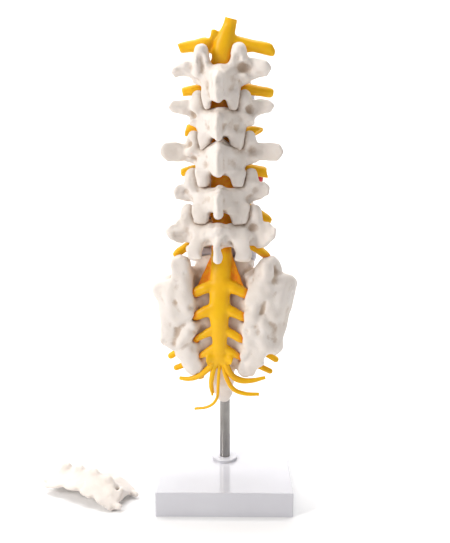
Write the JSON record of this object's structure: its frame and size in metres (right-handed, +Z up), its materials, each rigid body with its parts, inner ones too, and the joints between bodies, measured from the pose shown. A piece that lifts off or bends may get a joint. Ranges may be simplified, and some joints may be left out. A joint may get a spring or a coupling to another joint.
{
  "type": "spine anatomy model",
  "caption": "Lumbar spine and sacrum teaching model with discs, nerves and a taken-off sacral crest, on a rod and a square base.",
  "frame": {"origin": "the middle of the base's underside", "axes": "+Z up along the stand rod, -Y the way the back of the spine looks, +X the model's own right side"},
  "size_m": [0.1943, 0.1, 0.3501],
  "materials": {
    "bone": "matte, with a brown wash in the hollows",
    "disc_grey": "satin soft plastic",
    "prolapse_red": "glossy soft plastic",
    "nerve_yellow": "satin soft plastic",
    "base_white": "gloss",
    "collar_white": "gloss",
    "rod_steel": "satin",
    "core_steel": "satin",
    "fastener_steel": "satin"
  },
  "bodies": {
    "root": {"base_plate": "base_white", "base_screw": "fastener_steel", "stand_rod": "rod_steel", "rod_collar": "collar_white", "sacrum": "bone", "sacral_crest": "bone", "vertebra_l5": "bone", "vertebra_l4": "bone", "vertebra_l3": "bone", "vertebra_l2": "bone", "vertebra_l1": "bone", "disc_l5_s1": "disc_grey", "disc_l4_l5": "disc_grey", "disc_l3_l4": "disc_grey", "disc_l2_l3": "disc_grey", "disc_l1_l2": "disc_grey", "disc_prolapse": "prolapse_red", "core_rod": "core_steel", "core_washer": "fastener_steel", "core_nut": "fastener_steel", "dura_and_nerves": "nerve_yellow", "sacral_nerve_ends": "nerve_yellow"}
  },
  "joints": []
}
